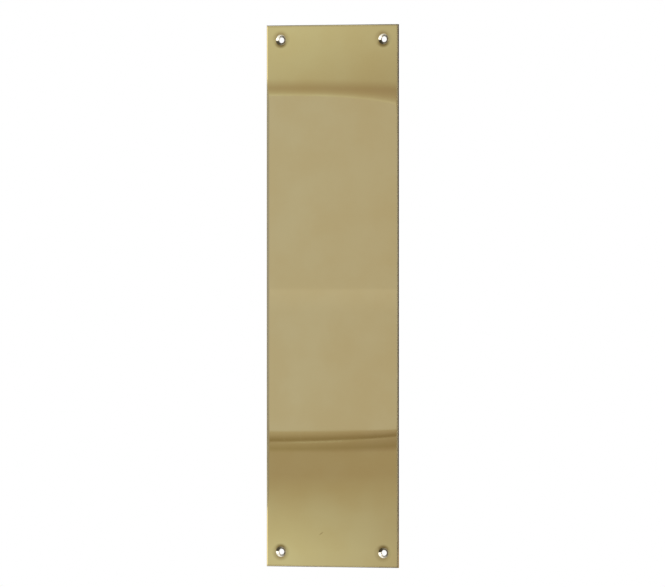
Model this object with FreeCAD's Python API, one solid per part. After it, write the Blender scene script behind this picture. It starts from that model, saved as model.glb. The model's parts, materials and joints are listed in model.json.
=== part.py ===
import FreeCAD, Part
import math
import os

# Plain door finger plate: one flat sheet of brass with four countersunk screw holes.
# Millimetres. The origin is the centre of the back face, which lies on the door.
# +Z runs up the door, +X to the right and +Y into the door, so the polished front faces -Y.

# Sheet
PLATE_HEIGHT = 300.0
PLATE_WIDTH = 75.0
PLATE_THICKNESS = 3.0

# Edges: the buffing wheel rounds the front arris, the four corners stay square and the back is only deburred
BUFFED_EDGE_RADIUS = 0.8
BACK_EDGE_CHAMFER = 0.2

# Screw holes, one near each corner, for 3 mm countersunk wood screws
HOLE_SIDE_INSET = 8.2
HOLE_END_INSET = 8.2
SCREW_HOLE_DIAMETER = 3.2
COUNTERSINK_DIAMETER = 5.6
COUNTERSINK_ANGLE = 90.0

# Rolled lip: buffing drags the sheet down into a soft roll round the mouth of each countersink
LIP_ROLL_WIDTH = 2.8
LIP_ROLL_RADIUS = 22.0
MOUTH_EDGE_RADIUS = 0.15

# How far each hole cutter stands out past the two faces, so that it cuts right through
CUTTER_OVERRUN = 1.0

BACK_Y = 0.0
FRONT_Y = BACK_Y - PLATE_THICKNESS
LEVEL_TOLERANCE = 1e-6

Vector = FreeCAD.Vector


def lies_at(edge, y):
    """True where every end of an edge is at that depth."""
    return all(abs(vertex.Y - y) < LEVEL_TOLERANCE for vertex in edge.Vertexes)


def is_circle(edge, radius):
    return isinstance(edge.Curve, Part.Circle) and abs(edge.Curve.Radius - radius) < LEVEL_TOLERANCE


def sheet():
    """The blank with its front arris rounded over and its back arris deburred."""
    corner = Vector(-PLATE_WIDTH / 2, FRONT_Y, -PLATE_HEIGHT / 2)
    blank = Part.makeBox(PLATE_WIDTH, PLATE_THICKNESS, PLATE_HEIGHT, corner)
    front_edges = [edge for edge in blank.Edges if lies_at(edge, FRONT_Y)]
    buffed = blank.makeFillet(BUFFED_EDGE_RADIUS, front_edges)
    back_edges = [edge for edge in buffed.Edges if lies_at(edge, BACK_Y)]
    return buffed.makeChamfer(BACK_EDGE_CHAMFER, back_edges)


def hole_cutter():
    """What a screw hole takes out, on the Y axis: the rolled lip, the countersink and the bore, turned as one."""
    bore_radius = SCREW_HOLE_DIAMETER / 2
    mouth_radius = COUNTERSINK_DIAMETER / 2
    roll_start_radius = mouth_radius + LIP_ROLL_WIDTH
    roll_centre_y = FRONT_Y + LIP_ROLL_RADIUS
    roll_turn = math.asin(LIP_ROLL_WIDTH / LIP_ROLL_RADIUS)

    def on_roll(turn):
        radius = roll_start_radius - LIP_ROLL_RADIUS * math.sin(turn)
        return Vector(radius, roll_centre_y - LIP_ROLL_RADIUS * math.cos(turn), 0)

    roll_start = on_roll(0)
    mouth = on_roll(roll_turn)
    cone_depth = (mouth_radius - bore_radius) / math.tan(math.radians(COUNTERSINK_ANGLE / 2))
    cone_foot = Vector(bore_radius, mouth.y + cone_depth, 0)
    back_rim = Vector(bore_radius, BACK_Y + CUTTER_OVERRUN, 0)
    back_axis = Vector(0, BACK_Y + CUTTER_OVERRUN, 0)
    front_axis = Vector(0, FRONT_Y - CUTTER_OVERRUN, 0)
    front_rim = Vector(roll_start_radius, FRONT_Y - CUTTER_OVERRUN, 0)

    outline = Part.Wire(
        [
            Part.LineSegment(front_axis, front_rim).toShape(),
            Part.LineSegment(front_rim, roll_start).toShape(),
            Part.Arc(roll_start, on_roll(roll_turn / 2), mouth).toShape(),
            Part.LineSegment(mouth, cone_foot).toShape(),
            Part.LineSegment(cone_foot, back_rim).toShape(),
            Part.LineSegment(back_rim, back_axis).toShape(),
            Part.LineSegment(back_axis, front_axis).toShape(),
        ]
    )
    cutter = Part.Face(outline).revolve(Vector(0, 0, 0), Vector(0, 1, 0), 360)
    mouth_edges = [edge for edge in cutter.Edges if is_circle(edge, mouth_radius)]
    return cutter.makeFillet(MOUTH_EDGE_RADIUS, mouth_edges)


def hole_places():
    """The centres of the four holes, on the back face."""
    across = PLATE_WIDTH / 2 - HOLE_SIDE_INSET
    along = PLATE_HEIGHT / 2 - HOLE_END_INSET
    return [Vector(x, BACK_Y, z) for z in (along, -along) for x in (-across, across)]


def finger_plate():
    plate = sheet()
    cutter = hole_cutter()
    for place in hole_places():
        plate = plate.cut(cutter.translated(place))
    return plate


os.makedirs("parts", exist_ok=True)
finger_plate().exportStep("parts/finger_plate.step")
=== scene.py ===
import json
import math

import bmesh
import bpy
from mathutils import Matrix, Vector


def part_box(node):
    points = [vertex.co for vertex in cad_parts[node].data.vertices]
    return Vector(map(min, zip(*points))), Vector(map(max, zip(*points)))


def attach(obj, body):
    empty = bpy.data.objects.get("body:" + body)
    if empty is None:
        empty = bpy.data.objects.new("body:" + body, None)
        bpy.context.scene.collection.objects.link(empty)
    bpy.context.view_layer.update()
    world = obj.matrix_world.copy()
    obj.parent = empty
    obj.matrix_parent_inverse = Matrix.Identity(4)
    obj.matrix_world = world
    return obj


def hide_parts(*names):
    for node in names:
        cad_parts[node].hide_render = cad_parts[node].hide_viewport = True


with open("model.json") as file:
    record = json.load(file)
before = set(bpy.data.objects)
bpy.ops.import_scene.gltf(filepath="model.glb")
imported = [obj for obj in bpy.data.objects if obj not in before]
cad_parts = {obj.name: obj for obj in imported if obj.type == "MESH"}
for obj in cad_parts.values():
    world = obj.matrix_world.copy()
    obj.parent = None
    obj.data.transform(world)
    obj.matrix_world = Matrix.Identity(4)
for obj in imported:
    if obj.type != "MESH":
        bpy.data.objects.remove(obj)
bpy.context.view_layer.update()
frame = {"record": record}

# Plate: its box and its screw holes come from the frame
MM = 0.001
plate_low, plate_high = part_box("finger_plate")
screw_holes = next(mount for mount in frame["record"]["mounts"] if mount["name"] == "screw_holes")
HOLE_ACROSS = screw_holes["dims"]["spacing_x_mm"] * MM / 2
HOLE_ALONG = screw_holes["dims"]["spacing_y_mm"] * MM / 2
BORE_RADIUS = screw_holes["dims"]["hole_r_mm"] * MM
THICKNESS = plate_high.y - plate_low.y

# Edges and countersinks, in metres, as on the solid
ARRIS_RADIUS = 0.0008
BACK_CHAMFER = 0.0002
MOUTH_RADIUS = 0.0028
COUNTERSINK_HALF_ANGLE = math.radians(45)
LIP_WIDTH = 0.0028
LIP_ROLL_RADIUS = 0.022
MOUTH_EDGE_RADIUS = 0.00015

# The wheel polishes the arris up to this turn, and past it the sheared side begins
BUFFED_TURN = math.radians(46)

# How finely the sheet is divided
HOLE_PATCH_HALF = 0.0070
HOLE_PATCH_CELLS = 20
BORDER_CELLS = 1
MIDDLE_CELLS_ACROSS = 12
MIDDLE_CELLS_ALONG = 72
ARRIS_STEPS = 8
LIP_STEPS = 8
MOUTH_EDGE_STEPS = 5
CONE_STEPS = 6
BORE_STEPS = 4
PATCH_RINGS = 4
LOWER_LEFT_TURN = -0.75 * math.pi
SHARP_ANGLE = math.radians(30)

# Buffing takes more off some places than others, so the front is hollow by up to 20 microns, in long waves
HOLLOW_DEPTH = 0.00002
HOLLOW_ACROSS = 0.046
HOLLOW_ALONG = 0.071
HOLLOW_START_ACROSS = 0.7
HOLLOW_START_ALONG = 0.4

# The plate's finishes, in the order of its material slots
FRONT, SIDE, COUNTERSINK, BACK = range(4)


# Plate mesh

def cuts(breaks, counts):
    """Grid lines from the first break to the last, with that many cells in each gap."""
    lines = [breaks[0]]
    for low, high, count in zip(breaks, breaks[1:], counts):
        lines += [low + (high - low) * (step + 1) / count for step in range(count)]
    return lines


def arc(centre, radius, start, end, steps):
    """Points on an arc in the plane of radius and depth, without its first point."""
    turns = [start + (end - start) * (step + 1) / steps for step in range(steps)]
    return [centre + radius * Vector((math.cos(turn), math.sin(turn))) for turn in turns]


def straight(start, end, steps):
    """Points on a straight line, without its first point."""
    return [start.lerp(end, (step + 1) / steps) for step in range(steps)]


def hole_profile():
    """Half section of a screw hole from lip to back: points as radius and depth, each with its finish."""
    roll_centre = Vector((MOUTH_RADIUS + LIP_WIDTH, LIP_ROLL_RADIUS))
    roll_turn = math.asin(LIP_WIDTH / LIP_ROLL_RADIUS)
    mouth = roll_centre - LIP_ROLL_RADIUS * Vector((math.sin(roll_turn), math.cos(roll_turn)))
    down_cone = Vector((-math.sin(COUNTERSINK_HALF_ANGLE), math.cos(COUNTERSINK_HALF_ANGLE)))
    into_metal = Vector((math.cos(COUNTERSINK_HALF_ANGLE), math.sin(COUNTERSINK_HALF_ANGLE)))

    # The mouth's small round touches both the roll and the cone
    offset = mouth + MOUTH_EDGE_RADIUS * into_metal - roll_centre
    reach = LIP_ROLL_RADIUS - MOUTH_EDGE_RADIUS
    along = offset.dot(down_cone)
    slide = -along - math.sqrt(along ** 2 - offset.length_squared + reach ** 2)
    round_centre = roll_centre + offset + slide * down_cone
    cone_start = mouth + slide * down_cone
    from_roll = round_centre - roll_centre
    roll_end_turn = math.atan2(from_roll.y, from_roll.x)
    cone_turn = math.atan2(-into_metal.y, -into_metal.x)

    cone_foot_depth = mouth.y + (MOUTH_RADIUS - BORE_RADIUS) / math.tan(COUNTERSINK_HALF_ANGLE)
    cone_foot = Vector((BORE_RADIUS, cone_foot_depth))
    back_rim = Vector((BORE_RADIUS, THICKNESS))
    stretches = [
        (arc(roll_centre, LIP_ROLL_RADIUS, -math.pi / 2, roll_end_turn, LIP_STEPS), FRONT),
        (arc(round_centre, MOUTH_EDGE_RADIUS, roll_end_turn, cone_turn, MOUTH_EDGE_STEPS), COUNTERSINK),
        (straight(cone_start, cone_foot, CONE_STEPS), COUNTERSINK),
        (straight(cone_foot, back_rim, BORE_STEPS), COUNTERSINK),
    ]
    return [(point, finish) for points, finish in stretches for point in points]


def bridge(mesh, outer, inner, finish):
    """A band of faces between two loops that have the same number of points."""
    for step, corner in enumerate(outer):
        following = (step + 1) % len(outer)
        face = mesh.faces.new([corner, outer[following], inner[following], inner[step]])
        face.material_index = finish


def sheet_face(mesh, columns, rows, patches, depth, finish):
    """One flat side as a grid, left open over the patches round the holes."""
    def inside(column, row):
        return any(left < column < right and low < row < high for left, right, low, high in patches)

    def in_patch(column, row):
        return any(left <= column < right and low <= row < high for left, right, low, high in patches)

    points = {
        (column, row): mesh.verts.new((x, depth, z))
        for column, x in enumerate(columns)
        for row, z in enumerate(rows)
        if not inside(column, row)
    }
    for column in range(len(columns) - 1):
        for row in range(len(rows) - 1):
            if in_patch(column, row):
                continue
            corners = [(column, row), (column + 1, row), (column + 1, row + 1), (column, row + 1)]
            face = mesh.faces.new([points[corner] for corner in corners])
            face.material_index = finish
    return points


def loop_round(left, right, low, high):
    """Grid places round a rectangle, from its lower left corner."""
    places = [(column, low) for column in range(left, right)]
    places += [(right, row) for row in range(low, high)]
    places += [(column, high) for column in range(right, left, -1)]
    places += [(left, row) for row in range(high, low, -1)]
    return places


def circle(mesh, centre, radius, depth, count):
    """A ring of points that starts at the lower left, as loop_round does."""
    ring = []
    for step in range(count):
        turn = LOWER_LEFT_TURN + 2 * math.pi * step / count
        x = centre.x + radius * math.cos(turn)
        z = centre.z + radius * math.sin(turn)
        ring.append(mesh.verts.new((x, depth, z)))
    return ring


def patch(mesh, border, ring, finish):
    """Rings that pass from the square border of a hole's patch to the round one."""
    last = border
    for step in range(1, PATCH_RINGS):
        share = step / PATCH_RINGS
        between = [mesh.verts.new(a.co.lerp(b.co, share)) for a, b in zip(border, ring)]
        bridge(mesh, last, between, finish)
        last = between
    bridge(mesh, last, ring, finish)


def screw_hole(mesh, centre, front_border, back_border):
    """The lip, countersink and bore of one hole, and the sheet round it on both sides."""
    count = len(front_border)
    ring = circle(mesh, centre, MOUTH_RADIUS + LIP_WIDTH, plate_low.y, count)
    patch(mesh, front_border, ring, FRONT)
    for point, finish in hole_profile():
        lower = circle(mesh, centre, point.x, plate_low.y + point.y, count)
        bridge(mesh, ring, lower, finish)
        ring = lower
    patch(mesh, back_border, ring, BACK)


def rim_section():
    """How far out, how deep and in what finish the edge goes, from the front to the back."""
    section = []
    for step in range(ARRIS_STEPS):
        turn = math.pi / 2 * (step + 1) / ARRIS_STEPS
        finish = FRONT if turn < BUFFED_TURN else SIDE
        depth = plate_low.y + ARRIS_RADIUS * (1 - math.cos(turn))
        section.append((ARRIS_RADIUS * math.sin(turn), depth, finish))
    section.append((ARRIS_RADIUS, plate_high.y - BACK_CHAMFER, SIDE))
    section.append((ARRIS_RADIUS - BACK_CHAMFER, plate_high.y, SIDE))
    return section


def rim(mesh, columns, rows, front, back):
    """The rounded front arris, the side and the deburred back arris. Sides meet square at a corner."""
    last_column, last_row = len(columns) - 1, len(rows) - 1
    places = loop_round(0, last_column, 0, last_row)
    ring = [front[spot] for spot in places]
    for reach, depth, finish in rim_section():
        following = []
        for column, row in places:
            across = (column == last_column) - (column == 0)
            along = (row == last_row) - (row == 0)
            base = Vector((columns[column], depth, rows[row]))
            following.append(mesh.verts.new(base + reach * Vector((across, 0, along))))
        bridge(mesh, ring, following, finish)
        ring = following
    bridge(mesh, ring, [back[spot] for spot in places], BACK)


def hollow(x, z):
    """How far the buffed front lies behind a true flat."""
    across = math.sin(2 * math.pi * x / HOLLOW_ACROSS + HOLLOW_START_ACROSS)
    along = math.cos(2 * math.pi * z / HOLLOW_ALONG + HOLLOW_START_ALONG)
    return HOLLOW_DEPTH * (2 + across + along) / 4


def cell_counts(middle):
    """Cells from one border to the other, past a hole, the middle and a hole."""
    return [BORDER_CELLS, HOLE_PATCH_CELLS, middle, HOLE_PATCH_CELLS, BORDER_CELLS]


def patch_spans(last):
    """First and last grid lines of the two holes' patches, one way across the sheet."""
    far = BORDER_CELLS + HOLE_PATCH_CELLS
    return (BORDER_CELLS, far), (last - far, last - BORDER_CELLS)


def finger_plate_mesh():
    """The whole plate, each face with its finish."""
    inner_x = plate_high.x - ARRIS_RADIUS
    inner_z = plate_high.z - ARRIS_RADIUS
    near_x, far_x = HOLE_ACROSS - HOLE_PATCH_HALF, HOLE_ACROSS + HOLE_PATCH_HALF
    near_z, far_z = HOLE_ALONG - HOLE_PATCH_HALF, HOLE_ALONG + HOLE_PATCH_HALF
    columns = cuts([-inner_x, -far_x, -near_x, near_x, far_x, inner_x], cell_counts(MIDDLE_CELLS_ACROSS))
    rows = cuts([-inner_z, -far_z, -near_z, near_z, far_z, inner_z], cell_counts(MIDDLE_CELLS_ALONG))
    row_spans = patch_spans(len(rows) - 1)
    patches = [across + along for across in patch_spans(len(columns) - 1) for along in row_spans]

    mesh = bmesh.new()
    front = sheet_face(mesh, columns, rows, patches, plate_low.y, FRONT)
    back = sheet_face(mesh, columns, rows, patches, plate_high.y, BACK)
    for left, right, low, high in patches:
        centre = Vector((columns[left] + columns[right], 0, rows[low] + rows[high])) / 2
        border = loop_round(left, right, low, high)
        screw_hole(mesh, centre, [front[spot] for spot in border], [back[spot] for spot in border])
    rim(mesh, columns, rows, front, back)

    for point in mesh.verts:
        towards_front = (plate_high.y - point.co.y) / THICKNESS
        point.co.y += towards_front * hollow(point.co.x, point.co.z)
    bmesh.ops.recalc_face_normals(mesh, faces=mesh.faces)
    for face in mesh.faces:
        face.smooth = True
    data = bpy.data.meshes.new("brass_finger_plate")
    mesh.to_mesh(data)
    mesh.free()
    data.set_sharp_from_angle(angle=SHARP_ANGLE)
    return data


# Shader helpers

# Sockets of a Mix node that blends two colours
MIX_SHARE, MIX_FIRST, MIX_SECOND = 0, 6, 7
MIX_RESULT = 2


def place(tree, kind, sockets=None, **settings):
    """Adds a node with its settings, and sets or links its sockets."""
    made = tree.nodes.new("ShaderNode" + kind)
    for name, value in settings.items():
        setattr(made, name, value)
    for name, value in (sockets or {}).items():
        if isinstance(value, bpy.types.NodeSocket):
            tree.links.new(value, made.inputs[name])
        else:
            made.inputs[name].default_value = value
    return made


def math_node(tree, operation, first, second=0.0):
    return place(tree, "Math", {0: first, 1: second}, operation=operation).outputs[0]


def add_share(tree, base, value, share):
    """A base with a share of another value added to it."""
    return math_node(tree, "ADD", base, math_node(tree, "MULTIPLY", value, share))


def spread(tree, value, low, high, to_low=0.0, to_high=1.0):
    """Stretches a value's range from low and high to the new low and high, smoothly and with no overshoot."""
    sockets = {"Value": value, "From Min": low, "From Max": high, "To Min": to_low, "To Max": to_high}
    return place(tree, "MapRange", sockets, interpolation_type="SMOOTHSTEP").outputs["Result"]


def ramp(tree, value, stops):
    """A colour that passes through the stops as the value goes from 0 to 1."""
    made = place(tree, "ValToRGB", {"Fac": value})
    points = made.color_ramp.elements
    points.remove(points[1])
    points[0].position = stops[0][0]
    points[0].color = (*stops[0][1], 1)
    for position, colour in stops[1:]:
        points.new(position).color = (*colour, 1)
    return made.outputs["Color"]


def blend_colour(tree, share, first, second, way="MIX"):
    """Two colours, blended by a share or multiplied by that share of the second."""
    sockets = {MIX_SHARE: share, MIX_FIRST: first, MIX_SECOND: second}
    return place(tree, "Mix", sockets, data_type="RGBA", blend_type=way).outputs[MIX_RESULT]


def new_group(name, inputs, outputs):
    """An empty shader group with its named sockets, and its input and output nodes."""
    group = bpy.data.node_groups.new(name, "ShaderNodeTree")
    for socket, kind in inputs:
        group.interface.new_socket(socket, in_out="INPUT", socket_type=kind)
    for socket in outputs:
        group.interface.new_socket(socket, in_out="OUTPUT", socket_type="NodeSocketFloat")
    entry = group.nodes.new("NodeGroupInput")
    leave = group.nodes.new("NodeGroupOutput")
    return group, entry, leave


def effect(tree, group, sockets):
    """Places a shader group in a material with its own values."""
    made = tree.nodes.new("ShaderNodeGroup")
    made.node_tree = group
    for name, value in sockets.items():
        made.inputs[name].default_value = value
    return made


def new_material(name):
    material = bpy.data.materials.new(name)
    material.use_nodes = True
    material.node_tree.nodes.clear()
    return material, material.node_tree


# Effects that several finishes share

# The part of the noise's range that makes clouds and lines
CLOUD_NOISE = (0.32, 0.68)
LINE_NOISE = (0.25, 0.75)

# Scratches lean these ways. They show where the noise passes a level, which is lower where there are many
SCRATCH_LEANS = (math.radians(3), math.radians(-9), math.radians(64))
SCRATCHES_PER_METRE = (2600, 2600, 55)
SCRATCH_LEVEL = 0.8
SCRATCH_LEVEL_DROP = 0.2
SCRATCH_SOFTNESS = 0.06

# Tarnish shows where the noise passes a level, which is lower where it covers more
TARNISH_LEVEL = 0.75
TARNISH_LEVEL_DROP = 0.5
TARNISH_SOFTNESS = 0.3

# Painted shade along the border is shifted to the left, and the ends of the left edge have none
EDGE_SHIFT = 0.0005
EDGE_FULL_SHARE = 0.5
SHADE_GAP_START = 0.105
SHADE_GAP_END = 0.130
SHADE_GAP_WIDTH = 0.002


def cloud_effect():
    """Soft clouds, for slow changes of colour and shine. Size is in metres."""
    group, entry, leave = new_group("brass_clouds", [("Size", "NodeSocketFloat")], ["Cloud"])
    where = place(group, "TexCoord")
    scale = math_node(group, "DIVIDE", 1.0, entry.outputs["Size"])
    noise = place(group, "TexNoise", {"Vector": where.outputs["Object"], "Scale": scale, "Detail": 4.0})
    group.links.new(spread(group, noise.outputs["Fac"], *CLOUD_NOISE), leave.inputs["Cloud"])
    return group


def line_effect():
    """Fine lines, drawn out along the axes whose count per metre is low."""
    group, entry, leave = new_group("worked_lines", [("Lines Per Metre", "NodeSocketVector")], ["Line"])
    where = place(group, "TexCoord")
    sockets = {0: where.outputs["Object"], 1: entry.outputs["Lines Per Metre"]}
    stretched = place(group, "VectorMath", sockets, operation="MULTIPLY")
    noise = place(group, "TexNoise", {"Vector": stretched.outputs[0], "Scale": 1.0, "Detail": 3.0})
    group.links.new(spread(group, noise.outputs["Fac"], *LINE_NOISE), leave.inputs["Line"])
    return group


def scratch_effect():
    """Sparse hairline scratches that lean three ways. Few is 0 and many is 1."""
    group, entry, leave = new_group("hairline_scratches", [("Many", "NodeSocketFloat")], ["Scratch"])
    where = place(group, "TexCoord")
    drop = math_node(group, "MULTIPLY", entry.outputs["Many"], SCRATCH_LEVEL_DROP)
    level = math_node(group, "SUBTRACT", SCRATCH_LEVEL, drop)
    full = math_node(group, "ADD", level, SCRATCH_SOFTNESS)
    deepest = None
    for lean in SCRATCH_LEANS:
        sockets = {"Vector": where.outputs["Object"], "Rotation": (0, lean, 0), "Scale": SCRATCHES_PER_METRE}
        turned = place(group, "Mapping", sockets)
        noise = place(group, "TexNoise", {"Vector": turned.outputs[0], "Scale": 1.0, "Detail": 1.0})
        scratch = spread(group, noise.outputs["Fac"], level, full)
        deepest = math_node(group, "MAXIMUM", deepest, scratch) if deepest else scratch
    group.links.new(deepest, leave.inputs["Scratch"])
    return group


def hole_effect():
    """Metres from the axis of the nearest screw hole, in all, towards the middle and to the left."""
    group, _, leave = new_group("from_screw_hole", [], ["Distance", "Inward", "Leftward"])
    where = place(group, "TexCoord")
    split = place(group, "SeparateXYZ", {0: where.outputs["Object"]})
    hole_x = math_node(group, "MULTIPLY", math_node(group, "SIGN", split.outputs["X"]), HOLE_ACROSS)
    leftward = math_node(group, "SUBTRACT", hole_x, split.outputs["X"])
    inward = math_node(group, "SUBTRACT", HOLE_ALONG, math_node(group, "ABSOLUTE", split.outputs["Z"]))
    joined = place(group, "CombineXYZ", {"X": leftward, "Z": inward})
    length = place(group, "VectorMath", {0: joined.outputs[0]}, operation="LENGTH")
    group.links.new(length.outputs["Value"], leave.inputs["Distance"])
    group.links.new(inward, leave.inputs["Inward"])
    group.links.new(leftward, leave.inputs["Leftward"])
    return group


def edge_effect():
    """Where painted shade lies along the border: 1 there and 0 from that width inwards. The left edge has
    most, and none at its ends.
    """
    group, entry, leave = new_group("near_edge", [("Width", "NodeSocketFloat")], ["Near"])
    where = place(group, "TexCoord")
    split = place(group, "SeparateXYZ", {0: where.outputs["Object"]})
    shifted = math_node(group, "SUBTRACT", split.outputs["X"], EDGE_SHIFT)
    across = math_node(group, "SUBTRACT", plate_high.x, math_node(group, "ABSOLUTE", shifted))
    from_middle = math_node(group, "ABSOLUTE", split.outputs["Z"])
    gap = spread(group, from_middle, SHADE_GAP_START, SHADE_GAP_END, 0.0, SHADE_GAP_WIDTH)
    gap = math_node(group, "MULTIPLY", gap, math_node(group, "LESS_THAN", split.outputs["X"]))
    across = math_node(group, "ADD", across, gap)
    along = math_node(group, "SUBTRACT", plate_high.z + EDGE_SHIFT, from_middle)
    nearest = math_node(group, "MINIMUM", across, along)
    full = math_node(group, "MULTIPLY", entry.outputs["Width"], EDGE_FULL_SHARE)
    group.links.new(spread(group, nearest, full, entry.outputs["Width"], 1.0, 0.0), leave.inputs["Near"])
    return group


def tarnish_effect():
    """Blotches of brown tarnish. Size is in metres, and Cover is the share of the surface they reach."""
    inputs = [("Size", "NodeSocketFloat"), ("Cover", "NodeSocketFloat")]
    group, entry, leave = new_group("brown_tarnish", inputs, ["Tarnish"])
    where = place(group, "TexCoord")
    scale = math_node(group, "DIVIDE", 1.0, entry.outputs["Size"])
    ragged = {"Detail": 6.0, "Roughness": 0.62, "Distortion": 0.6}
    noise = place(group, "TexNoise", {"Vector": where.outputs["Object"], "Scale": scale, **ragged})
    drop = math_node(group, "MULTIPLY", entry.outputs["Cover"], TARNISH_LEVEL_DROP)
    level = math_node(group, "SUBTRACT", TARNISH_LEVEL, drop)
    full = math_node(group, "ADD", level, TARNISH_SOFTNESS)
    group.links.new(spread(group, noise.outputs["Fac"], level, full), leave.inputs["Tarnish"])
    return group


brass_clouds = cloud_effect()
worked_lines = line_effect()
hairline_scratches = scratch_effect()
from_screw_hole = hole_effect()
near_edge = edge_effect()
brown_tarnish = tarnish_effect()


# Finishes

def metal(tree, sockets):
    """A brass surface, made from its colour, shine and bumps."""
    shader = place(tree, "BsdfPrincipled", {"Metallic": 1.0, **sockets})
    place(tree, "OutputMaterial", {"Surface": shader.outputs["BSDF"]})


def bump(tree, height, depth):
    """Turns a height from 0 to 1 into bumps of that depth in metres."""
    made = place(tree, "Bump", {"Height": height, "Strength": 1.0, "Distance": depth})
    return made.outputs["Normal"]


# Polished front: its metal
POLISHED_TONES = [(0.0, (0.80, 0.65, 0.33)), (1.0, (0.82, 0.685, 0.365))]
POLISHED_CLOUD_SIZE = 0.028
POLISHED_ROUGHNESS = (0.042, 0.032)
BUFFED_LINES_PER_METRE = (5200, 5200, 90)
BUFFED_LINE_DEPTH = 0.00000004
FRONT_SCRATCHES = 0.25
SCRATCH_DEPTH_IN_LINES = 2.0

# Painted shade round the mouth of each hole, in brown, most towards the plate's middle and to the right
MOUTH_SHADE_BROWN = (0.25, 0.19, 0.085, 1)
MOUTH_SHADE_INSIDE = 0.0008
MOUTH_SHADE_OUTSIDE = 0.0030
MOUTH_SHADE_START = -0.002
MOUTH_SHADE_FULL = 0.003
MOUTH_SHADE_LEFTWARD = -0.5
MOUTH_SHADE_SHARES = (0.2, 0.5)

# Painted shade along the edges, in brown: a dark reflection of the rounded arris
EDGE_SHADE_BROWN = (0.575, 0.505, 0.31, 1)
EDGE_WIDTH = 0.0014

# Nick: its place, its slant, its half length, depth and half width, and the share of it that is full
NICK_PLACE = (-0.00605, -0.003, -0.1314)
NICK_LEAN = math.radians(-39)
NICK_SIZE = (0.0019, 0.002, 0.0005)
NICK_CORE = 0.7
NICK_BROWN = (0.62, 0.49, 0.235, 1)

# How much each of these dulls the polish
SCRATCH_DULLS = 0.05
MOUTH_SHADE_DULLS = 0.2
EDGE_DULLS = 0.22
NICK_DULLS = 0.12


def nick(tree):
    """A small slanting bruise near the foot of the plate, from 0 around it to 1 at its middle."""
    where = place(tree, "TexCoord")
    at_nick = {"Location": NICK_PLACE, "Rotation": (0, NICK_LEAN, 0), "Scale": NICK_SIZE}
    local = place(tree, "Mapping", {"Vector": where.outputs["Object"], **at_nick}, vector_type="TEXTURE")
    ball = place(tree, "TexGradient", {"Vector": local.outputs[0]}, gradient_type="SPHERICAL")
    return spread(tree, ball.outputs["Fac"], 0.0, NICK_CORE)


def hole_mouth_shade(tree):
    """Painted shade round each hole's mouth, from 0 for none."""
    hole = effect(tree, from_screw_hole, {})
    inside, outside = MOUTH_RADIUS - MOUTH_SHADE_INSIDE, MOUTH_RADIUS + MOUTH_SHADE_OUTSIDE
    round_mouth = spread(tree, hole.outputs["Distance"], inside, outside, 1.0, 0.0)
    shade_reach = add_share(tree, hole.outputs["Inward"], hole.outputs["Leftward"], MOUTH_SHADE_LEFTWARD)
    shade_share = spread(tree, shade_reach, MOUTH_SHADE_START, MOUTH_SHADE_FULL, *MOUTH_SHADE_SHARES)
    return math_node(tree, "MULTIPLY", round_mouth, shade_share)


def polished_front():
    """Buffed to a mirror, with faint lines up the plate and painted brown shade round the holes."""
    material, tree = new_material("polished_front")
    cloud = effect(tree, brass_clouds, {"Size": POLISHED_CLOUD_SIZE}).outputs["Cloud"]
    line = effect(tree, worked_lines, {"Lines Per Metre": BUFFED_LINES_PER_METRE}).outputs["Line"]
    scratch = effect(tree, hairline_scratches, {"Many": FRONT_SCRATCHES}).outputs["Scratch"]
    mouth_shade = hole_mouth_shade(tree)
    edge = effect(tree, near_edge, {"Width": EDGE_WIDTH}).outputs["Near"]
    bruise = nick(tree)
    colour = ramp(tree, cloud, POLISHED_TONES)
    # Painted shade: brown round the mouth of each hole
    colour = blend_colour(tree, mouth_shade, colour, MOUTH_SHADE_BROWN)
    # Painted shade: a dark reflection along the edges, in brown
    colour = blend_colour(tree, edge, colour, EDGE_SHADE_BROWN)
    colour = blend_colour(tree, bruise, colour, NICK_BROWN)
    dulled = spread(tree, cloud, 0.0, 1.0, *POLISHED_ROUGHNESS)
    dulled = add_share(tree, dulled, scratch, SCRATCH_DULLS)
    dulled = add_share(tree, dulled, mouth_shade, MOUTH_SHADE_DULLS)
    dulled = add_share(tree, dulled, edge, EDGE_DULLS)
    dulled = add_share(tree, dulled, bruise, NICK_DULLS)
    cut = math_node(tree, "MULTIPLY", scratch, SCRATCH_DEPTH_IN_LINES)
    worked = math_node(tree, "SUBTRACT", line, cut)
    metal(tree, {"Base Color": colour, "Roughness": dulled, "Normal": bump(tree, worked, BUFFED_LINE_DEPTH)})
    return material


# Sheared side: brown tarnish, darkened further as painted shade, and kept brown at a glancing angle too
SIDE_TARNISH_AND_SHADE = [(0.0, (0.33, 0.26, 0.145)), (0.6, (0.25, 0.19, 0.105)), (1.0, (0.15, 0.105, 0.055))]
SIDE_GLANCE = (0.83, 0.58, 0.30, 1)
SIDE_TARNISH = {"Size": 0.014, "Cover": 0.6}
SIDE_ROUGHNESS = (0.24, 0.38)
SHEAR_LINES_PER_METRE = (140, 5000, 140)
SHEAR_LINE_DEPTH = 0.00001


def sheared_side():
    """The cut side: lines left by the shear run along the sheet, under brown tarnish that is darkened further
    as painted shade.
    """
    material, tree = new_material("sheared_side")
    line = effect(tree, worked_lines, {"Lines Per Metre": SHEAR_LINES_PER_METRE}).outputs["Line"]
    tarnish = effect(tree, brown_tarnish, SIDE_TARNISH).outputs["Tarnish"]
    # Partly painted shade: the side's brown is darker than tarnish alone
    colour = ramp(tree, tarnish, SIDE_TARNISH_AND_SHADE)
    dulled = spread(tree, tarnish, 0.0, 1.0, *SIDE_ROUGHNESS)
    sheared = bump(tree, line, SHEAR_LINE_DEPTH)
    metal(tree, {"Base Color": colour, "Specular Tint": SIDE_GLANCE, "Roughness": dulled, "Normal": sheared})
    return material


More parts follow.
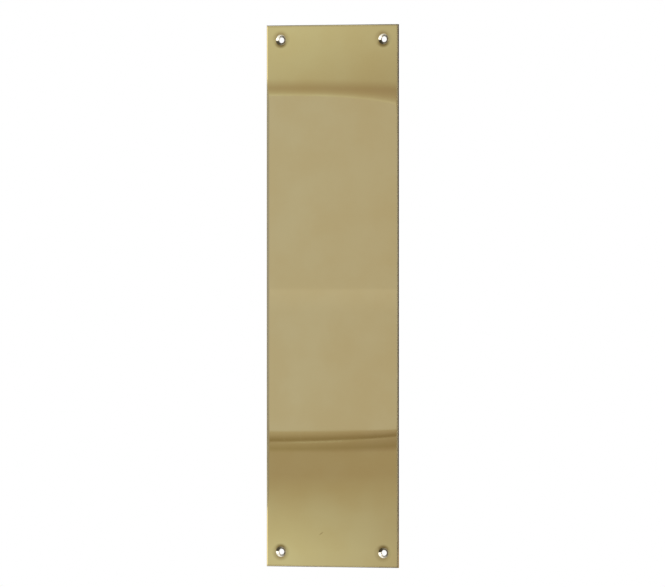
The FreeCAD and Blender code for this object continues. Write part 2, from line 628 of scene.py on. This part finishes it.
# Turned countersink: its metal, paler than the front as a partly painted highlight, and the rings of the tool
COUNTERSINK_TONES = [(0.0, (0.97, 0.92, 0.78)), (0.7, (0.92, 0.84, 0.62)), (1.0, (0.72, 0.60, 0.36))]
COUNTERSINK_TARNISH = {"Size": 0.0016, "Cover": 0.3}
COUNTERSINK_ROUGHNESS = (0.10, 0.22)
TURNING_PITCH = 0.00012
TURNING_DEPTH = 0.000002

# Painted shade in the countersink, black, by metres from the axis: most at the left of the inner side, and
# less in the right side
SINK_SHADE_BLACK = (0.085, 0.07, 0.04, 1)
SINK_SHADE_START = -0.0001
SINK_SHADE_FULL = 0.0007
SINK_SHADE_RIGHT = -0.0008
SINK_SHADE_LEFT = 0.0012
SINK_SHADE_SHARES = (0.6, 0.95)
RIGHT_SIDE_START = -0.0010
RIGHT_SIDE_FULL = -0.0020
RIGHT_SIDE_SHARE = 0.5
SINK_SHADE_DULLS = 0.25

# Painted light on the outer side: less of the surface is metal, so its pale colour lifts the dark parts with
# diffuse light
MATT_LIGHT_FULL = -0.0018
MATT_LIGHT_START = -0.0006
METAL_UNDER_MATT_LIGHT = 0.7

# The bore is browner and duller, from these depths below the front
BORE_BROWN = (0.60, 0.48, 0.28, 1)
BORE_START = 0.0013
BORE_FULL = 0.0017
BORE_DULLS = 0.12


def countersink_shade(tree, hole):
    """Painted shade in a countersink, from 0 for none to 1."""
    shade_inward = spread(tree, hole.outputs["Inward"], SINK_SHADE_START, SINK_SHADE_FULL)
    shade_leftward = spread(tree, hole.outputs["Leftward"], SINK_SHADE_RIGHT, SINK_SHADE_LEFT, *SINK_SHADE_SHARES)
    shade_rightward = spread(
        tree, hole.outputs["Leftward"], RIGHT_SIDE_FULL, RIGHT_SIDE_START, RIGHT_SIDE_SHARE, 0.0
    )
    return math_node(tree, "MAXIMUM", math_node(tree, "MULTIPLY", shade_inward, shade_leftward), shade_rightward)


def turned_countersink():
    """Turned by a tool, with rings, in brass paler than the front as a partly painted highlight. It holds
    black painted shade, and painted matt light on the side opposite.
    """
    material, tree = new_material("turned_countersink")
    tarnish = effect(tree, brown_tarnish, COUNTERSINK_TARNISH).outputs["Tarnish"]
    hole = effect(tree, from_screw_hole, {})
    where = place(tree, "TexCoord")
    depth = place(tree, "SeparateXYZ", {0: where.outputs["Object"]}).outputs["Y"]
    bore = spread(tree, depth, plate_low.y + BORE_START, plate_low.y + BORE_FULL)
    sink_shade = countersink_shade(tree, hole)
    section = place(tree, "CombineXYZ", {"X": hole.outputs["Distance"], "Y": depth})
    rings = place(tree, "TexNoise", {"Vector": section.outputs[0], "Scale": 1 / TURNING_PITCH, "Detail": 2.0})
    # Partly painted highlight: the countersink's brass is paler than the front's
    colour = blend_colour(tree, bore, ramp(tree, tarnish, COUNTERSINK_TONES), BORE_BROWN)
    # Painted shade: black in the countersink
    colour = blend_colour(tree, sink_shade, colour, SINK_SHADE_BLACK)
    dulled = spread(tree, tarnish, 0.0, 1.0, *COUNTERSINK_ROUGHNESS)
    dulled = add_share(tree, dulled, bore, BORE_DULLS)
    dulled = add_share(tree, dulled, sink_shade, SINK_SHADE_DULLS)
    ringed = bump(tree, rings.outputs["Fac"], TURNING_DEPTH)
    # Painted light: less metal on the outer side, so the pale colour shows as diffuse light
    metal_share = spread(tree, hole.outputs["Inward"], MATT_LIGHT_FULL, MATT_LIGHT_START, METAL_UNDER_MATT_LIGHT, 1.0)
    metal(tree, {"Base Color": colour, "Metallic": metal_share, "Roughness": dulled, "Normal": ringed})
    return material


# Rolled back
BACK_TONES = [(0.0, (0.72, 0.565, 0.275)), (0.5, (0.61, 0.465, 0.22)), (1.0, (0.36, 0.255, 0.125))]
BACK_CLOUD_SIZE = 0.05
BACK_ROUGHNESS = (0.28, 0.42)
BACK_TARNISH = {"Size": 0.03, "Cover": 0.45}
BACK_SCRATCHES = 0.7
ROLLED_STREAKS_PER_METRE = (520, 520, 5)
ROLLED_LINES_PER_METRE = (2600, 2600, 24)
ROLLED_LINE_DEPTH = 0.000005

# How much each of these darkens the back
TARNISH_DARKENS = 0.7
STREAK_DARKENS = 0.22
LINE_DARKENS = 0.12


def rolled_back():
    """As it left the rolling mill: satin, with streaks and lines up the sheet and blotches of tarnish."""
    material, tree = new_material("rolled_back")
    streak = effect(tree, worked_lines, {"Lines Per Metre": ROLLED_STREAKS_PER_METRE}).outputs["Line"]
    line = effect(tree, worked_lines, {"Lines Per Metre": ROLLED_LINES_PER_METRE}).outputs["Line"]
    cloud = effect(tree, brass_clouds, {"Size": BACK_CLOUD_SIZE}).outputs["Cloud"]
    tarnish = effect(tree, brown_tarnish, BACK_TARNISH).outputs["Tarnish"]
    scratch = effect(tree, hairline_scratches, {"Many": BACK_SCRATCHES}).outputs["Scratch"]
    shade = math_node(tree, "MULTIPLY", tarnish, TARNISH_DARKENS)
    shade = add_share(tree, shade, streak, STREAK_DARKENS)
    shade = add_share(tree, shade, line, LINE_DARKENS)
    colour = ramp(tree, shade, BACK_TONES)
    dulled = spread(tree, cloud, 0.0, 1.0, *BACK_ROUGHNESS)
    worked = math_node(tree, "SUBTRACT", math_node(tree, "ADD", line, streak), scratch)
    metal(tree, {"Base Color": colour, "Roughness": dulled, "Normal": bump(tree, worked, ROLLED_LINE_DEPTH)})
    return material


# Plate

plate = bpy.data.objects.new("brass_finger_plate", finger_plate_mesh())
bpy.context.scene.collection.objects.link(plate)
for finish in (polished_front, sheared_side, turned_countersink, rolled_back):
    plate.data.materials.append(finish())
true_flats = plate.modifiers.new("true_flats", "WEIGHTED_NORMAL")
true_flats.keep_sharp = True
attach(plate, "root")
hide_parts("finger_plate")


# Studio

WHITE = (1, 1, 1, 1)
ROOM_LIGHT = 0.6
FLOOR_HEIGHT = -0.3
FLOOR_RADIUS = 1.6
FLOOR_STEPS = 96
PALE_FLOOR = (0.86, 0.855, 0.845, 1)

# The floor is lifted to white, a little near the plate so that its shadow shows, and fully far off
NEAR_LIFT = 0.14
FAR_LIFT = 0.45
LIFT_START = 0.4
LIFT_END = 1.4

# Lamps: place, size and power
KEY_LAMP = ((1.1, -1.6, 1.9), 1.2, 34)
FILL_LAMP = ((-1.6, -1.2, 1.4), 1.4, 11)

# Cards round the plate, which only its reflections show
CARD_SIDES = (-0.5, 0.5)
CARD_STEPS = 100
CARD_DISTANCE = 0.2
WALL_DISTANCE = 0.3
ROOF_HEIGHT = 0.3

# Lines across the front cards bend towards the right: height at the left, bend at the right, and its power
BEND_START = -0.0895
BEND_WIDTH = 0.08
BEND_LIMIT = 1.25
UPPER_EDGE = (0.1175, -0.0062, 3)
UPPER_HEM = (0.1224, -0.0022, 2)
LOWER_EDGE = (-0.0810, 0.0017, 2)
LOWER_HEM = (-0.0871, 0.0037, 2)
LOWER_FOLD = (-0.0935, 0.0020, 2)

# The crease lies on the lower hem's line, a little nearer the plate. The wall's two sheets meet at the seam
CREASE_SIDES = (-0.14, 0.04)
CREASE_HEIGHT = 0.0007
CREASE_LIFT = 0.0005
SEAM_HEIGHT = 0.0025

# What the cards give off
BRIGHT = (1.8, 1.78, 1.7)
PALE = (0.63, 0.655, 0.59)
LIT_GREY = (0.60, 0.60, 0.605)
GREY = (0.555, 0.555, 0.555)
SOFT = (0.54, 0.54, 0.475)
HALF = (0.46, 0.43, 0.35)
BROWN = (0.42, 0.378, 0.305)
DUSK = (0.335, 0.295, 0.205)
SHADE = (0.28, 0.235, 0.15)
DARK = (0.10, 0.09, 0.075)
BLACK = (0.035, 0.03, 0.025)

# The front cards fall off between these shares of their width, from left to right
FALL_START = 0.42
FALL_END = 0.49
RAISED = (1.03, 1.035, 1.03)
HEM_FALL = [(FALL_START, RAISED), (FALL_END, (0.925, 0.885, 0.895))]
UPPER_FALL = [(FALL_START, RAISED), (FALL_END, (0.885, 0.845, 0.82))]
LOWER_FALL = [(FALL_START, RAISED), (FALL_END, (0.83, 0.79, 0.80))]

# The lower card's fall grows between these shares of its height, from its near side
LOWER_FALL_GROWS = (0.03, 0.29)

# The wall is warmer near its middle
EVEN = (1, 1, 1)
WARM = (0.965, 0.937, 0.90)
WALL_WARMTH = [(0.40, EVEN), (0.47, WARM), (0.55, EVEN)]

# Small cards for the edges and countersinks: one corner, the next, the way to the far side, and the light
SIDE_CARDS = {
    "right_light": ((0.3, -0.06, -0.25), (0.3, -0.115, -0.25), (0, 0, 0.5), BRIGHT),
    "right_flag": ((0.31, -0.13, -0.29), (0.31, 0.1, -0.29), (0, 0, 0.61), DARK),
    "left_flag": ((-0.3, -0.1, -0.115), (-0.3, 0.1, -0.115), (0, 0, 0.242), DARK),
    "upper_left_light": ((-0.24, -0.2, 0.128), (-0.3, -0.1, 0.128), (0, 0, 0.17), BRIGHT),
    "lower_left_light": ((-0.24, -0.2, -0.116), (-0.3, -0.1, -0.116), (0, 0, -0.18), BRIGHT),
    "back_flag": ((0.105, 0.5, -0.165), (0.45, 0.5, -0.165), (0, 0, 0.43), BLACK),
    "roof_flag": ((-0.15, 0.006, 0.2), (0.25, -0.058, 0.2), (0, 0.13, 0), BLACK),
    "floor_flag": ((-0.15, 0.006, -0.2), (0.25, -0.058, -0.2), (0, 0.13, 0), BLACK),
}


def background(tree):
    """1 for the rays that have to see plain white: from the camera, from gloss and through glass."""
    path = place(tree, "LightPath")
    seen = math_node(tree, "MAXIMUM", path.outputs["Is Camera Ray"], path.outputs["Is Glossy Ray"])
    return math_node(tree, "MAXIMUM", seen, path.outputs["Is Transmission Ray"])


def white_room():
    """Soft light from all round, in front of a white background."""
    world = bpy.data.worlds.new("white_room")
    bpy.context.scene.world = world
    world.use_nodes = True
    tree = world.node_tree
    tree.nodes.clear()
    soft = place(tree, "Background", {"Color": WHITE, "Strength": ROOM_LIGHT})
    white = place(tree, "Background", {"Color": WHITE, "Strength": 1.0})
    mixed = place(tree, "MixShader", {0: background(tree), 1: soft.outputs[0], 2: white.outputs[0]})
    place(tree, "OutputWorld", {"Surface": mixed.outputs[0]})


def stage_object(name, mesh, material):
    data = bpy.data.meshes.new(name)
    mesh.to_mesh(data)
    mesh.free()
    data.materials.append(material)
    made = bpy.data.objects.new(name, data)
    bpy.context.scene.collection.objects.link(made)
    return made


def pale_floor():
    """A pale floor that is lifted to white, and still takes a shadow."""
    material, tree = new_material("pale_floor")
    matt = place(tree, "BsdfDiffuse", {"Color": PALE_FLOOR})
    where = place(tree, "TexCoord")
    distance = place(tree, "VectorMath", {0: where.outputs["Object"]}, operation="LENGTH")
    lift = spread(tree, distance.outputs["Value"], LIFT_START, LIFT_END, NEAR_LIFT, FAR_LIFT)
    strength = math_node(tree, "MULTIPLY", background(tree), lift)
    white = place(tree, "Emission", {"Color": WHITE, "Strength": strength})
    both = place(tree, "AddShader", {0: matt.outputs[0], 1: white.outputs[0]})
    place(tree, "OutputMaterial", {"Surface": both.outputs[0]})
    mesh = bmesh.new()
    bmesh.ops.create_circle(mesh, cap_ends=True, radius=FLOOR_RADIUS, segments=FLOOR_STEPS)
    bmesh.ops.translate(mesh, verts=mesh.verts, vec=(0, 0, FLOOR_HEIGHT))
    stage_object("pale_floor", mesh, material)


def softbox(name, location, size, energy):
    """A square lamp aimed at the plate. It lights the floor, and the plate shows the cards instead."""
    data = bpy.data.lights.new(name, "AREA")
    data.energy = energy
    data.size = size
    lamp = bpy.data.objects.new(name, data)
    lamp.location = location
    lamp.rotation_euler = (-Vector(location)).to_track_quat("-Z", "Y").to_euler()
    lamp.visible_camera = False
    lamp.visible_glossy = False
    bpy.context.scene.collection.objects.link(lamp)


def glow(name, stops, along, fall, grows):
    """A card's light from its near side to its far side, or along it, and how it falls off along it."""
    material, tree = new_material(name)
    on_card = place(tree, "UVMap", uv_map="on_card")
    split = place(tree, "SeparateXYZ", {0: on_card.outputs[0]})
    colour = ramp(tree, split.outputs[along], stops)
    if fall:
        weaker = ramp(tree, split.outputs["X"], fall)
        share = spread(tree, split.outputs["Y"], *grows) if grows else 1.0
        colour = blend_colour(tree, share, colour, weaker, way="MULTIPLY")
    light = place(tree, "Emission", {"Color": colour})
    place(tree, "OutputMaterial", {"Surface": light.outputs[0]})
    return material


def card(name, near_line, far_line, stops, along="Y", fall=None, grows=None):
    """A card between two lines, which only reflections show. Its fall can grow towards the far line."""
    mesh = bmesh.new()
    layer = mesh.loops.layers.uv.new("on_card")
    near = [mesh.verts.new(point) for point in near_line]
    far = [mesh.verts.new(point) for point in far_line]
    last = len(near) - 1
    for step in range(last):
        face = mesh.faces.new([near[step], near[step + 1], far[step + 1], far[step]])
        corners = [(step, 0), (step + 1, 0), (step + 1, 1), (step, 1)]
        for loop, (across, out) in zip(face.loops, corners):
            loop[layer].uv = (across / last, out)
    made = stage_object(name, mesh, glow(name, stops, along, fall, grows))
    made.visible_camera = False
    made.visible_diffuse = False
    made.visible_shadow = False


def small_card(name, start, end, away, light):
    """A plain card from two corners and the way to its far side."""
    near = [Vector(start), Vector(end)]
    card(name, near, [point + Vector(away) for point in near], [(0.0, light)])


def card_line(height, bend=0.0, power=1, sides=CARD_SIDES, distance=CARD_DISTANCE):
    """A line across the front of the plate, which bends towards the right as stiff paper does."""
    left, right = sides
    points = []
    for step in range(CARD_STEPS + 1):
        x = left + (right - left) * step / CARD_STEPS
        share = min(max((x - BEND_START) / BEND_WIDTH, 0), BEND_LIMIT)
        points.append(Vector((x, -distance, height + bend * share ** power)))
    return points


def in_reach(reach, stops):
    """Stops given in millimetres from a card's near side, as shares of its reach."""
    return [(distance * MM / reach, colour) for distance, colour in stops]


def upper_cards():
    """A soft brown hem with a pale edge, and above it a card that goes pale, with a dark strip across it."""
    hem_light = [(0.0, PALE), (0.08, PALE), (0.14, SOFT), (0.45, HALF), (0.8, BROWN)]
    hem = card_line(*UPPER_HEM)
    card("upper_hem", card_line(*UPPER_EDGE), hem, hem_light, fall=HEM_FALL)
    rise = [(0, BROWN), (5, SOFT), (33, PALE), (38, PALE)]
    strip = [(62, DUSK), (82, SHADE), (104, PALE)]
    light = in_reach(ROOF_HEIGHT - UPPER_HEM[0], rise + strip)
    card("upper_card", hem, card_line(ROOF_HEIGHT), light, fall=UPPER_FALL)


def lower_cards():
    """A dark folded hem, and below it a card that goes pale, with a dark strip across it."""
    hem_light = [(0.0, HALF), (0.31, BROWN), (0.8, SHADE)]
    fold_light = [(0.0, BROWN), (0.65, DUSK), (1.0, BROWN)]
    hem = card_line(*LOWER_HEM)
    fold = card_line(*LOWER_FOLD)
    card("lower_hem", card_line(*LOWER_EDGE), hem, hem_light, fall=HEM_FALL)
    card("lower_fold", hem, fold, fold_light, fall=HEM_FALL)
    rise = [(0, BROWN), (13, BROWN), (22, HALF), (37, SOFT), (59, PALE), (72, PALE)]
    strip = [(96, DUSK), (114, SHADE), (140, PALE)]
    light = in_reach(LOWER_FOLD[0] - FLOOR_HEIGHT, rise + strip)
    card("lower_card", fold, card_line(FLOOR_HEIGHT), light, fall=LOWER_FALL, grows=LOWER_FALL_GROWS)


def crease():
    """The crease between the lower hem and its fold, which catches the light along part of its length."""
    light = [(0.29, BROWN), (0.39, SOFT), (0.52, SOFT), (0.58, HALF), (0.67, BROWN)]
    top = card_line(*LOWER_HEM, sides=CREASE_SIDES, distance=CARD_DISTANCE - CREASE_LIFT)
    foot = [point - Vector((0, 0, CREASE_HEIGHT)) for point in top]
    card("crease", top, foot, light, along="X")


def grey_wall():
    """A grey wall of two sheets behind the front cards. At their seam the lower one catches some light."""
    seam = card_line(SEAM_HEIGHT, distance=WALL_DISTANCE)
    foot = card_line(FLOOR_HEIGHT, distance=WALL_DISTANCE)
    top = card_line(ROOF_HEIGHT, distance=WALL_DISTANCE)
    lower_light = in_reach(SEAM_HEIGHT - FLOOR_HEIGHT, [(0, LIT_GREY), (14, GREY)])
    card("upper_wall", seam, top, [(0.0, GREY)], fall=WALL_WARMTH)
    card("lower_wall", seam, foot, lower_light, fall=WALL_WARMTH)


def studio_cards():
    upper_cards()
    lower_cards()
    crease()
    grey_wall()
    for name, (start, end, away, light) in SIDE_CARDS.items():
        small_card(name, start, end, away, light)


# Camera

CAMERA_DISTANCE = 3.0913
CAMERA_TURN = math.radians(14.5)
CAMERA_HEIGHT = 0.015
CAMERA_AIM = Vector((-0.00044, 0, 0.00138))
CAMERA_LENS = 302.33
CAMERA_REACH = 50


def photo_camera():
    data = bpy.data.cameras.new("photo_camera")
    data.lens = CAMERA_LENS
    data.clip_end = CAMERA_REACH
    camera = bpy.data.objects.new("photo_camera", data)
    bpy.context.scene.collection.objects.link(camera)
    level = Vector((math.sin(CAMERA_TURN), -math.cos(CAMERA_TURN), 0)) * CAMERA_DISTANCE
    camera.location = level + Vector((0, 0, CAMERA_HEIGHT))
    camera.rotation_euler = (CAMERA_AIM - camera.location).to_track_quat("-Z", "Y").to_euler()
    bpy.context.scene.camera = camera


white_room()
pale_floor()
softbox("key_lamp", *KEY_LAMP)
softbox("fill_lamp", *FILL_LAMP)
studio_cards()
photo_camera()
bpy.context.scene.view_settings.view_transform = "Standard"
